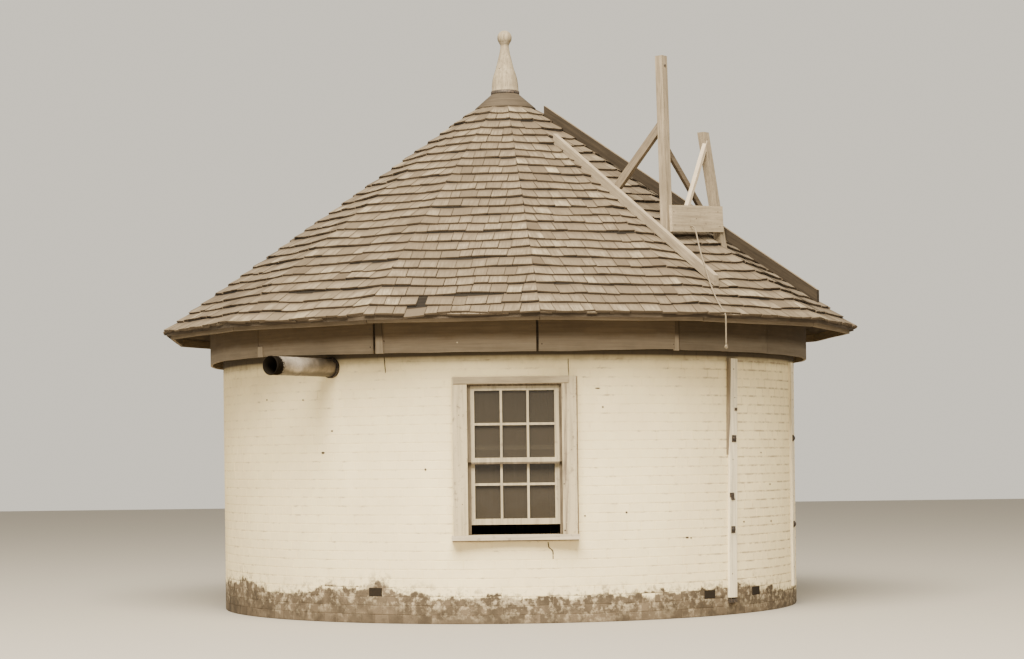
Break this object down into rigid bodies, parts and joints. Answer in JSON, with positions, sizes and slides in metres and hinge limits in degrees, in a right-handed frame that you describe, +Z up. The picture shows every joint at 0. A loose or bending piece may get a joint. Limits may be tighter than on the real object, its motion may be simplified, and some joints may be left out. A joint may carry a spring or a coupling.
{
  "type": "round brick observatory with a turning shingled roof",
  "caption": "Small round whitewashed brick observatory with a shingled roof that turns on the wall, a sash window, a stovepipe and a timber frame over the roof slot.",
  "frame": {"origin": "on the ground on the axis of the round building", "axes": "+Z up along the roof's turning axis, -Y out of the window, +X to the right of somebody who faces the window"},
  "size_m": [5.9663, 6.0318, 5.0605],
  "materials": {
    "whitewashed_brick": "matt",
    "painted_wood": "satin",
    "shingled_roof": "matt",
    "weathered_wood": "matt",
    "skirt_wood": "matt",
    "dark_wood": "matt",
    "sheet_iron": "satin",
    "window_glass": "gloss",
    "floor_stone": "matt",
    "hemp_rope": "matt"
  },
  "bodies": {
    "building": {"wall_right_1": "whitewashed_brick", "wall_right_2": "whitewashed_brick", "wall_right_3": "whitewashed_brick", "wall_right_4": "whitewashed_brick", "wall_left_1": "whitewashed_brick", "wall_left_2": "whitewashed_brick", "wall_left_3": "whitewashed_brick", "wall_left_4": "whitewashed_brick", "wall_below_window": "whitewashed_brick", "wall_above_window": "whitewashed_brick", "wall_above_door": "whitewashed_brick", "floor": "floor_stone", "window_casing": "painted_wood", "window_sill": "painted_wood", "window_stool": "painted_wood", "upper_sash": "painted_wood", "upper_glass": "window_glass", "lower_sash": "painted_wood", "lower_glass": "window_glass", "door_frame": "painted_wood", "door_leaf": "painted_wood", "door_threshold": "floor_stone", "wall_board_left": "painted_wood", "wall_batten": "painted_wood", "wall_board_right": "painted_wood", "stovepipe": "sheet_iron", "stovepipe_collar": "sheet_iron", "wall_plate": "dark_wood", "track_rail": "sheet_iron"},
    "roof": {"roof_section_1": "shingled_roof", "roof_section_2": "shingled_roof", "roof_section_3": "shingled_roof", "roof_section_4": "shingled_roof", "roof_section_5": "shingled_roof", "roof_section_6": "shingled_roof", "roof_section_7": "shingled_roof", "slot_cover": "shingled_roof", "eave_board": "painted_wood", "curb_ring": "dark_wood", "skirt_1": "skirt_wood", "skirt_2": "skirt_wood", "skirt_3": "skirt_wood", "skirt_4": "skirt_wood", "finial": "weathered_wood", "crown_cap": "dark_wood", "front_rail": "weathered_wood", "back_rail": "dark_wood", "tall_post": "weathered_wood", "short_post": "weathered_wood", "tall_brace": "weathered_wood", "short_brace": "weathered_wood", "frame_board": "weathered_wood", "cross_brace": "dark_wood", "pull_rope": "hemp_rope", "rope_knot": "hemp_rope"}
  },
  "joints": [
    {"name": "roof_turn", "type": "hinge", "parent": "building", "child": "roof", "pos_m": [0, 0, 2.46], "axis": [0, 0, 1], "continuous": true}
  ]
}
